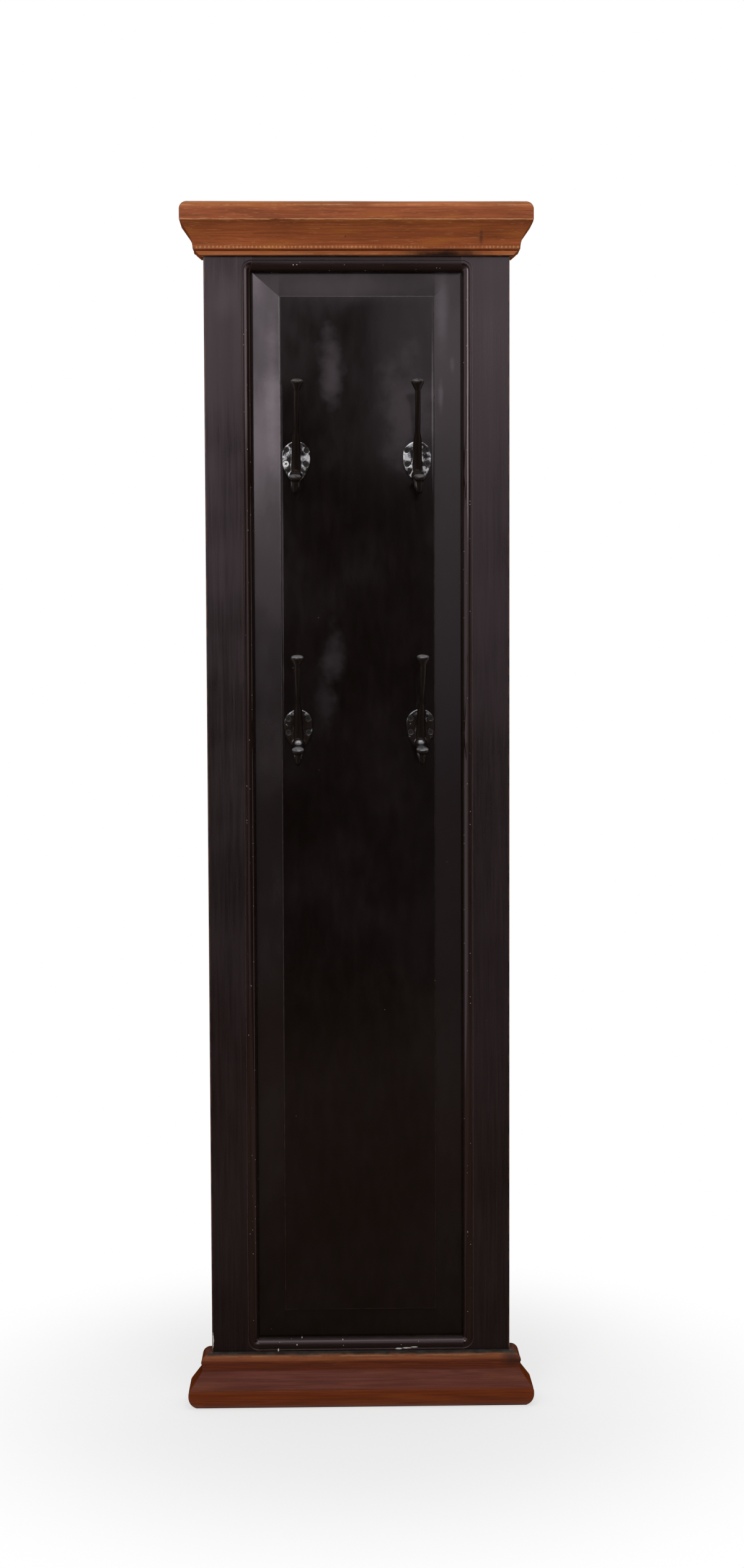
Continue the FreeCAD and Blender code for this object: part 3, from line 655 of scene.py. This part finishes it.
def peg_wood(name, colours):
    """End grain of the pegs."""
    material, tree, shader = new_finish(name, Specular_IOR_Level=0.3)
    grain = placed(tree, wood_grain, vector=own_place(tree).drawn_out(Y_AXIS, 260.0, 40.0), rings=30.0)
    figure = grain["figure"]
    tone = figure.mix(colours.raw_wood_dark, colours.peg)
    tone = (grain["pores"] * 0.5).mix(tone, colours.raw_wood_dark)
    rough = figure.between(0.2, 0.8, 0.8, 0.6)
    finish(shader, Base_Color=tone, Roughness=rough, Normal=figure.bump(0.3, 0.0005))
    return material


def dress(nodes, material):
    """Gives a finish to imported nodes."""
    for node in nodes:
        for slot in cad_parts[node].material_slots:
            slot.material = material


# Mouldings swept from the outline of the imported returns


def wall_outline(node):
    """The outline of a left return's wall end, in order, as (reach from the board, height) pairs."""
    weld = 1e-6
    shape = bmesh.new()
    shape.from_mesh(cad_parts[node].data)
    bmesh.ops.remove_doubles(shape, verts=shape.verts, dist=weld)
    at_wall = [face for face in shape.faces if all(abs(v.co.y - BOARD_BACK) < weld for v in face.verts)]
    cap = bmesh.ops.dissolve_faces(shape, faces=at_wall)["region"][0]
    outline = [(-BOARD_SIDE - corner.co.x, corner.co.z) for corner in cap.verts]
    shape.free()
    return outline


def steps_round(outline):
    """Each point of a closed outline with the next one."""
    return zip(outline, outline[1:] + outline[:1])


def part_way(here, there, share):
    """A point on the line between two points."""
    return here[0] + (there[0] - here[0]) * share, here[1] + (there[1] - here[1]) * share


def finer(outline, step):
    """Splits the long pieces of an outline, apart from its back."""
    points = []
    for here, there in steps_round(outline):
        at_back = max(here[0], there[0]) < step
        count = 1 if at_back else max(1, math.ceil(math.dist(here, there) / step))
        points.extend(part_way(here, there, turn / count) for turn in range(count))
    return points


def scored(outline, height, width, depth):
    """Cuts a fine groove across the front of an outline at a height."""
    groove = ((-0.5, 0.0), (-0.2, 1.0), (0.2, 1.0), (0.5, 0.0))
    points = []
    for here, there in steps_round(outline):
        points.append(here)
        rise = there[1] - here[1]
        crosses = (here[1] - height) * (there[1] - height) < 0.0
        if crosses and min(here[0], there[0]) > depth:
            for offset, sunk in groove:
                level = height + math.copysign(offset, offset * rise) * width
                reach = part_way(here, there, (level - here[1]) / rise)[0]
                points.append((reach - sunk * depth, level))
    return points


def sharpness(outline, step):
    """How much of an arris each point of an outline is, from 0 on a flat to 1."""
    found = []
    for place, here in enumerate(outline):
        before = Vector(here) - Vector(outline[place - 1])
        after = Vector(outline[(place + 1) % len(outline)]) - Vector(here)
        turn = abs(before.angle_signed(after, 0.0))
        found.append(min(1.0, turn / max(before.length, after.length) * step))
    return found


def smooth(value, low, high):
    """A smooth step from 0 to 1."""
    share = min(1.0, max(0.0, (value - low) / (high - low)))
    return share * share * (3.0 - 2.0 * share)


def stray(spot, run, level):
    """Noise from -1 to 1 along a moulding, with a course of its own at each level."""
    return noise.noise(Vector((spot.x / run, spot.y / run, level)))


def cutter_bite(place, height, mark, span, pitch, depth):
    """How deep the cutter's marks are. They lie about one height, and come and go along the moulding."""
    stretch = 0.03
    shown = smooth(noise.noise(Vector((place / stretch, mark, 3.0))), -0.45, 0.05)
    beat = max(0.0, math.sin(place / pitch * 2.0 * math.pi))
    return depth * beat * shown * (1.0 - smooth(abs(height - mark), 0.0, span))


def object_of(name, shape):
    """Puts a shape in the scene as an object."""
    mesh = bpy.data.meshes.new(name)
    shape.to_mesh(mesh)
    shape.free()
    piece = bpy.data.objects.new(name, mesh)
    bpy.context.scene.collection.objects.link(piece)
    return piece


def sweep(name, outline, sizes, run, seed, rubs, chatter):
    """Sweeps an outline along one side of the board, mitred where it meets a neighbour, and wears it."""
    origin, along, outward, start, end, far_mitre = run
    most = max(reach for reach, height in outline)
    low = min(height for reach, height in outline)
    high = max(height for reach, height in outline)
    arris = sharpness(outline, sizes.outline_step)
    slices = max(8, math.ceil((end - start) / sizes.moulding_step))
    shape = bmesh.new()
    rings = []
    for cut in range(slices + 1):
        ring = []
        for (reach, height), keen in zip(outline, arris):
            first = start - reach
            last = end + reach if far_mitre else end
            place = first + (last - first) * cut / slices
            spot = origin + along * place
            free = smooth(reach, *WEAR_REACH) * smooth(height - low, 0.0, WEAR_FOOT)
            waver = 0.5 + 0.5 * stray(spot, sizes.waver_run, height * 9.0 + seed)
            knock = smooth(stray(spot, sizes.dent_run, height * 40.0 + seed), 0.1, 0.5)
            lost = sizes.waver * waver + sizes.dent * keen * knock
            if chatter is not None:
                lost += cutter_bite(place, height, *chatter)
            sag = 0.5 + 0.5 * stray(spot, sizes.waver_run, 50.0)
            drop = sizes.waver * sag * smooth(height, high - SAG_DEPTH, high)
            near_first = math.exp(-((place - first) / sizes.corner_reach) ** 2) * rubs[0]
            near_last = math.exp(-((last - place) / sizes.corner_reach) ** 2) * rubs[1]
            proud = smooth(reach, 0.2 * most, most)
            place += (near_first - near_last) * proud
            out = reach - lost * free - (near_first + near_last) * proud
            spot = origin + along * place + outward * out + Z_AXIS * (height - drop)
            ring.append(shape.verts.new(spot))
        rings.append(ring)
    for ring, after in zip(rings, rings[1:]):
        for (here, there), (far_here, far_there) in zip(steps_round(ring), steps_round(after)):
            shape.faces.new((here, there, far_there, far_here))
    shape.faces.new(rings[0])
    shape.faces.new(reversed(rings[-1]))
    bmesh.ops.recalc_face_normals(shape, faces=shape.faces)
    piece = object_of(name, shape)
    piece.data.shade_smooth()
    piece.data.set_sharp_from_angle(angle=SHARP_FROM)
    return piece


def moulding_runs():
    """Three runs, each its origin, direction, outward side, start, end and whether its far end is mitred."""
    front = Vector((0.0, BOARD_FRONT, 0.0))
    left = Vector((-BOARD_SIDE, 0.0, 0.0))
    return {
        "front": (front, X_AXIS, -Y_AXIS, -BOARD_SIDE, BOARD_SIDE, True),
        "left": (left, Y_AXIS, -X_AXIS, BOARD_FRONT, BOARD_BACK, False),
        "right": (-left, Y_AXIS, X_AXIS, BOARD_FRONT, BOARD_BACK, False),
    }


def add_moulding(kind, outline, sizes, seed, rubs, front_wood, side_wood, chatter=None):
    """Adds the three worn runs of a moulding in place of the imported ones."""
    plans = {
        "front": (f"{kind}_front", rubs, front_wood, chatter),
        "left": (f"{kind}_left_return", (rubs[0], 0.0), side_wood, None),
        "right": (f"{kind}_right_return", (rubs[1], 0.0), side_wood, None),
    }
    for side, run in moulding_runs().items():
        node, end_rubs, wood, bite = plans[side]
        piece = sweep(f"{kind}_{side}_worn", outline, sizes, run, seed, end_rubs, bite)
        piece.data.materials.append(wood)
        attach(piece, "root")
        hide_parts(node)


class RACK_OT_board(Operator):
    """Finishes the stiles, the rails and the raised panel in black lacquer"""

    bl_idname = "rack.board"
    bl_label = "Lacquered board"

    def execute(self, context):
        colours = context.scene.rack_colours
        stile_look = {
            "along": Z_AXIS, "brush": (38.0, 1.2), "streak": 0.7, "mirror": 0.46, "sheen": colours.sheen,
            "rough": (0.24, 0.38), "edge_rough": 0.3, "side_rough": 1.0, "grit": 0.5, "worn": 0.6,
            "polish": 0.7, "bared": 0.045,
        }
        rail_look = {**stile_look, "along": X_AXIS, "mirror": 0.3, "edge_rough": 0.8}
        panel_look = {
            "along": Z_AXIS, "brush": (9.0, 3.0), "streak": 0.3, "mirror": 0.3, "sheen": colours.panel_sheen,
            "rough": (0.12, 0.26), "edge_rough": 1.0, "side_rough": 1.5, "grit": 0.0, "worn": 0.45,
            "polish": 1.0, "bared": 0.0,
        }
        stile = lacquer("lacquer_stile", colours, stile_look, BOARD_FRONT, STILE_CHIPS, STILE_PAINTED_REFLECTIONS)
        dress(("left_stile", "right_stile"), stile)
        rail = lacquer("lacquer_rail", colours, rail_look, BOARD_FRONT, RAIL_CHIPS, ())
        dress(("top_rail", "bottom_rail"), rail)
        panel = lacquer("lacquer_panel", colours, panel_look, PANEL_FIELD, PANEL_CHIPS, PANEL_PAINTED_REFLECTIONS)
        dress(("raised_panel",), panel)
        return {"FINISHED"}


class RACK_OT_crown(Operator):
    """Sweeps the worn crown mouldings round the top of the board"""

    bl_idname = "rack.crown"
    bl_label = "Crown mouldings"

    def execute(self, context):
        sizes = context.scene.rack_sizes
        colours = context.scene.rack_colours
        quirk = CROWN_LOW + 0.0068
        quirk_half = 0.0014
        cove_foot = CROWN_LOW + 0.0108
        shoulder = CROWN_LOW + 0.0457
        shoulder_half = 0.0015
        rounded_top = BOARD_TOP - 0.007
        outline = scored(wall_outline("crown_left_return"), quirk, sizes.quirk_width, sizes.quirk_depth)
        outline = finer(outline, sizes.outline_step)
        zones = (
            # The crown's lowest millimetre is painted shade: the shadow of its underside as a dark line.
            (CROWN_LOW, colours.dark_mark_and_shade),
            (CROWN_LOW + 0.0009, colours.dark_mark_and_shade),
            (CROWN_LOW + 0.0016, colours.stain_band),
            (quirk - quirk_half, colours.stain_band),
            # The quirk's groove is darkened: stain pooled in it, and painted shade.
            (quirk, colours.stain_dark),
            (quirk + quirk_half, colours.stain),
            # A darker band under the edge of the upper face is painted shade.
            (shoulder - 0.012, colours.stain),
            (shoulder - 0.003, colours.stain_painted_shade),
            (shoulder - shoulder_half, colours.stain_painted_shade),
            (shoulder + shoulder_half, colours.fascia_stain),
            (BOARD_TOP - 0.012, colours.fascia_stain),
            (rounded_top, colours.top_stain),
            (BOARD_TOP, colours.top_stain),
        )
        # The returns' lower part takes the painted shade colour.
        side_zones = (
            (CROWN_LOW, colours.stain_painted_shade),
            (shoulder - shoulder_half, colours.stain_painted_shade),
            (shoulder + shoulder_half, colours.stain),
            (BOARD_TOP, colours.fascia_stain),
        )
        front = {
            # Pale lines along the arrises: rubbed wood, and painted highlights where the arrises catch the
            # light.
            "lines": (
                (CROWN_LOW + 0.0026, 0.0014, 0.5, 0.6),
                (shoulder, 0.0012, 0.6, 0.75),
                (rounded_top, 0.002, 0.48, 0.5),
            ),
            "blots": CROWN_BLOTS,
            "chatter": (cove_foot, 0.0026, sizes.chatter_pitch),
            "fleck": 0.28,
            "warm": 0.4,
        }
        front_wood = stained_wood("stained_crown", colours, X_AXIS, zones, **front)
        side_wood = stained_wood("stained_crown_side", colours, Y_AXIS, side_zones, gloss=0.0)
        rubs = (sizes.crown_rub_left, sizes.crown_rub_right)
        bite = (cove_foot, 0.0022, sizes.chatter_pitch, sizes.chatter_depth)
        add_moulding("crown", outline, sizes, CROWN_SEED, rubs, front_wood, side_wood, bite)
        return {"FINISHED"}


class RACK_OT_base(Operator):
    """Sweeps the worn base mouldings round the foot of the board"""

    bl_idname = "rack.base"
    bl_label = "Base mouldings"

    def execute(self, context):
        sizes = context.scene.rack_sizes
        colours = context.scene.rack_colours
        outline = finer(wall_outline("base_left_return"), sizes.outline_step)
        nose = BASE_TOP - 0.013
        zones = (
            (0.0, colours.stain_dark),
            (0.003, colours.toe_stain),
            (0.0265, colours.toe_stain),
            (0.0285, colours.neck_stain_and_shade),
            (0.031, colours.base_stain),
            (0.05, colours.base_stain),
            # Up to the rounded top the neck is painted darker: stain, and painted shade under the overhang.
            (0.054, colours.neck_stain_and_shade),
            (nose + 0.002, colours.neck_stain_and_shade),
            (nose + 0.005, colours.nose_stain),
            (BASE_TOP, colours.nose_stain),
        )
        side_zones = (
            (0.0, colours.stain_dark),
            (0.02, colours.toe_stain),
            (nose, colours.stain_dark),
            (BASE_TOP, colours.neck_stain_and_shade),
        )
        front = {
            # A pale line along the rounded top's arris: rubbed wood, and painted highlight.
            "lines": ((BASE_TOP - 0.0035, 0.002, 0.5, 0.3),),
            "blots": BASE_BLOTS,
            "ledge": BASE_TOP,
        }
        front_wood = stained_wood("stained_base", colours, X_AXIS, zones, **front)
        side_wood = stained_wood("stained_base_side", colours, Y_AXIS, side_zones, gloss=0.0)
        rubs = (sizes.base_rub, sizes.base_rub)
        add_moulding("base", outline, sizes, BASE_SEED, rubs, front_wood, side_wood)
        return {"FINISHED"}


class RACK_OT_hooks(Operator):
    """Gives the hooks the softened skin of a casting and rubbed black paint"""

    bl_idname = "rack.hooks"
    bl_label = "Cast hooks"

    def execute(self, context):
        sizes = context.scene.rack_sizes
        colours = context.scene.rack_colours
        # Each lower hook has three spots of bare metal that are painted glints, and a spot is its place and
        # its reach
        painted_glint_spots = []
        for side in SIDES:
            low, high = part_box(f"hook_screws_lower_{side}")
            middle = 0.5 * (low.x + high.x)
            painted_glint_spots += (
                ((middle - 0.011, PLATE_FACE, high.z + 0.003), (0.009, 0.01, 0.004)),
                ((middle + 0.0125, PLATE_FACE, high.z + 0.0025), (0.006, 0.01, 0.0035)),
                ((middle, PLATE_FACE - 0.012, low.z - 0.0105), (0.006, 0.016, 0.004)),
            )
        upper = {"rub": 0.36, "rim_glint": 1.0, "rim_side": 0.7, "arm_wear_and_glint": 0.26}
        lower = {"rub": 0.08, "rim_glint": 0.9, "rim_side": 0.25, "arm_wear_and_glint": 0.5, "painted_glint_spots": painted_glint_spots}
        for row, look in (("upper", upper), ("lower", lower)):
            iron = hook_iron(f"hook_iron_{row}", colours, **look)
            for side in SIDES:
                node = f"hook_{row}_{side}"
                dress((node,), iron)
                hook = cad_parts[node]
                skin = hook.modifiers.new("cast skin", "REMESH")
                skin.mode = "VOXEL"
                skin.voxel_size = sizes.casting_voxel
                skin.use_smooth_shade = True
                soften = hook.modifiers.new("softened edges", "SMOOTH")
                soften.factor = 0.5
                soften.iterations = 5
        return {"FINISHED"}


class RACK_OT_fixings(Operator):
    """Finishes the screws, nails, hangers and pegs"""

    bl_idname = "rack.fixings"
    bl_label = "Screws, nails, hangers and pegs"

    def execute(self, context):
        colours = context.scene.rack_colours
        bright = (colours, colours.zinc, 0.9, (0.28, 0.45))
        hook_screws = [f"hook_screws_{row}_{side}" for row in ("upper", "lower") for side in SIDES]
        dress(hook_screws, plain_metal("dark_screw_steel", colours, colours.dark_steel, 0.3, (0.35, 0.55)))
        dress(("zinc_screw",), plain_metal("bright_zinc_screw", *bright, face=PLATE_FACE))
        dress(("hanger_screws", "wall_hanger_left", "wall_hanger_right"), plain_metal("bright_zinc", *bright))
        nail_steel = plain_metal("nail_head_steel", colours, colours.nail, 0.5, (0.5, 0.7))
        dress(("crown_nails", "base_nails"), nail_steel)
        dress(("tenon_pegs",), peg_wood("peg_end_wood", colours))
        return {"FINISHED"}


# The stage


def camera_matrix(stage):
    """The camera's place and turn."""
    level = math.radians(90.0)
    turn = Matrix.Rotation(-stage.camera_turn, 4, "Z")
    tilt = Matrix.Rotation(level - stage.camera_dip, 4, "X")
    roll = Matrix.Rotation(stage.camera_roll, 4, "Z")
    return Matrix.Translation(Vector(stage.camera_place)) @ turn @ tilt @ roll


def add_softbox(name, place, width, height, energy):
    """A rectangular soft light that faces the middle of the board."""
    lamp = bpy.data.lights.new(name, "AREA")
    lamp.shape = "RECTANGLE"
    lamp.size = width
    lamp.size_y = height
    lamp.energy = energy
    softbox = bpy.data.objects.new(name, lamp)
    softbox.location = place
    softbox.rotation_euler = (LIGHT_AIM - Vector(place)).to_track_quat("-Z", "Y").to_euler()
    bpy.context.scene.collection.objects.link(softbox)


def shown_ray(tree):
    """1 for a ray that shows the background: straight, mirrored or through glass."""
    path = outputs_of(put(tree, "LightPath"))
    return path["Is Camera Ray"].at_least(path["Is Glossy Ray"]).at_least(path["Is Transmission Ray"])


def light_world(sky):
    """A white background, and a soft even light that doesn't depend on it."""
    world = bpy.data.worlds.new("soft_studio")
    bpy.context.scene.world = world
    world.use_nodes = True
    background = world.node_tree.nodes["Background"].inputs
    feed(background["Color"], WHITE)
    feed(background["Strength"], shown_ray(world.node_tree).between(0.0, 1.0, sky, 1.0))


def add_floor(tint):
    """A wide pale floor that fades into the white background."""
    half_width = 9.0
    fade_start, fade_end = 0.25, 0.75
    shape = bmesh.new()
    bmesh.ops.create_grid(shape, x_segments=1, y_segments=1, size=half_width)
    floor = object_of("pale_floor", shape)
    material, tree, shader = new_finish("pale_floor", Base_Color=tint, Roughness=0.9, Specular_IOR_Level=0.1)
    fade = own_place(tree).size().between(fade_start, fade_end, 0.62, 1.0) * shown_ray(tree)
    body = Value(tree.nodes["Principled BSDF"].outputs[0])
    white = output_of(tree, "Emission", 0, {"Color": WHITE, "Strength": 1.0})
    faded = output_of(tree, "MixShader", 0, {0: fade, 1: body, 2: white})
    feed(tree.nodes["Material Output"].inputs["Surface"], faded)
    floor.data.materials.append(material)


def upright_card(left, right, depth, top):
    """The corners of a card that stands on the floor across the view."""
    return (left, depth, CARD_LIFT), (right, depth, CARD_LIFT), (right, depth, top), (left, depth, top)


def side_card(side, far, near, top):
    """The corners of a card that stands on the floor beside the view."""
    return (side, far, CARD_LIFT), (side, near, CARD_LIFT), (side, near, top), (side, far, top)


def flat_card(left, right, near, far):
    """The corners of a cloth on the floor."""
    return (left, near, CARD_LIFT), (right, near, CARD_LIFT), (right, far, CARD_LIFT), (left, far, CARD_LIFT)


def card_cloth(name, tint, thinning=None, glow=0.0):
    """Dull cloth. With two heights it thins out between them, so that its end leaves no line in the gloss,
    and there it can glow as a painted light that only the gloss shows.
    """
    material, tree, shader = new_finish(name, Base_Color=tint, Roughness=1.0, Specular_IOR_Level=0.0)
    if thinning is not None:
        cover = own_place(tree).part("Z").between(*thinning)
        finish(shader, Alpha=cover, Emission_Color=tint, Emission_Strength=glow)
    return material


def add_screens(colours):
    """Cloth on the floor and cards behind the camera, which only the gloss of the lacquer shows."""
    near, far, half_width, cloth_side = -0.09, -3.4, 2.2, 0.6
    left_end, dark_left, tall_right, dark_right, right_end = -0.75, -0.28, 0.1, 0.33, 1.0
    low_top, card_top, tall_top = 0.95, 1.65, 2.45
    outer_full, outer_clear = 0.6, 2.15
    left_full, left_clear = 1.5, 2.4
    bright_foot, bright_full, bright_top, bright_end = 1.2, 2.0, 3.2, -0.95
    in_front = far + 0.05
    side_near = -0.4
    cloths = {
        "dark": card_cloth("dark_cloth", colours.dark_card),
        "floor": card_cloth("floor_cloth", colours.floor_cloth),
        "left": card_cloth("left_cloth", colours.left_card, (left_clear, left_full)),
        "right": card_cloth("right_cloth", colours.right_card),
        "outer": card_cloth("thinning_cloth", colours.outer_card, (outer_clear, outer_full)),
        "outer floor": card_cloth("outer_cloth", colours.outer_cloth),
        # This cloth glows: a painted light seen only in the gloss.
        "bright": card_cloth("bright_cloth", colours.glowing_card, (bright_foot, bright_full), glow=3.0),
    }
    cards = (
        ("outer floor", flat_card(-half_width, -cloth_side, near, far)),
        ("floor", flat_card(-cloth_side, cloth_side, near, far)),
        ("outer floor", flat_card(cloth_side, half_width, near, far)),
        ("dark", side_card(half_width, far, side_near, tall_top)),
        ("outer", upright_card(-half_width, left_end, far, outer_clear)),
        ("bright", upright_card(-half_width, bright_end, in_front, bright_top)),
        ("left", upright_card(left_end, dark_left, far, left_clear)),
        ("dark", upright_card(dark_left, dark_right, far, card_top)),
        ("dark", upright_card(dark_left, tall_right, far, tall_top)),
        ("right", upright_card(dark_right, right_end, far, card_top)),
        ("right", upright_card(right_end, half_width, far, low_top)),
    )
    shape = bmesh.new()
    for cloth, corners in cards:
        card = shape.faces.new([shape.verts.new(corner) for corner in corners])
        card.material_index = list(cloths).index(cloth)
    screens = object_of("studio_cards", shape)
    for cloth in cloths.values():
        screens.data.materials.append(cloth)
    screens.visible_camera = False
    screens.visible_diffuse = False
    screens.visible_shadow = False


class RACK_OT_stage(Operator):
    """Sets the pale floor, the soft light and the camera"""

    bl_idname = "rack.stage"
    bl_label = "Stage"

    def execute(self, context):
        scene = context.scene
        stage = scene.rack_stage
        scene.view_settings.view_transform = "Standard"
        light_world(stage.sky)
        add_softbox("left_softbox", (-1.25, -2.9, 2.1), 0.7, 1.3, stage.key_power)
        add_softbox("right_softbox", (1.1, -3.0, 2.3), 1.7, 1.2, stage.fill_power)
        add_softbox("top_softbox", (0.0, -1.6, 3.4), 2.2, 1.4, stage.top_power)
        add_floor(scene.rack_colours.floor)
        add_screens(scene.rack_colours)
        lens = bpy.data.cameras.new("front_camera")
        lens.lens = stage.lens
        lens.sensor_width = 36.0
        camera = bpy.data.objects.new("front_camera", lens)
        camera.matrix_world = camera_matrix(stage)
        scene.collection.objects.link(camera)
        scene.camera = camera
        return {"FINISHED"}


OPERATORS = (RACK_OT_board, RACK_OT_crown, RACK_OT_base, RACK_OT_hooks, RACK_OT_fixings, RACK_OT_stage)


class RACK_PT_steps(Panel):
    """Lists the steps that dress the coat rack"""

    bl_idname = "RACK_PT_steps"
    bl_label = "Coat rack"
    bl_space_type = "VIEW_3D"
    bl_region_type = "UI"
    bl_category = "Coat rack"

    def draw(self, context):
        for step in OPERATORS:
            self.layout.operator(step.bl_idname)


SETTINGS = {"rack_sizes": RackSizes, "rack_colours": RackColours, "rack_stage": RackStage}


def register():
    for group in SETTINGS.values():
        bpy.utils.register_class(group)
    for name, group in SETTINGS.items():
        setattr(bpy.types.Scene, name, PointerProperty(type=group))
    for step in (*OPERATORS, RACK_PT_steps):
        bpy.utils.register_class(step)


def unregister():
    for step in (RACK_PT_steps, *reversed(OPERATORS)):
        bpy.utils.unregister_class(step)
    for name, group in SETTINGS.items():
        delattr(bpy.types.Scene, name)
        bpy.utils.unregister_class(group)


def main():
    register()
    bpy.ops.rack.board()
    bpy.ops.rack.crown()
    bpy.ops.rack.base()
    bpy.ops.rack.hooks()
    bpy.ops.rack.fixings()
    bpy.ops.rack.stage()


if __name__ == "__main__":
    main()
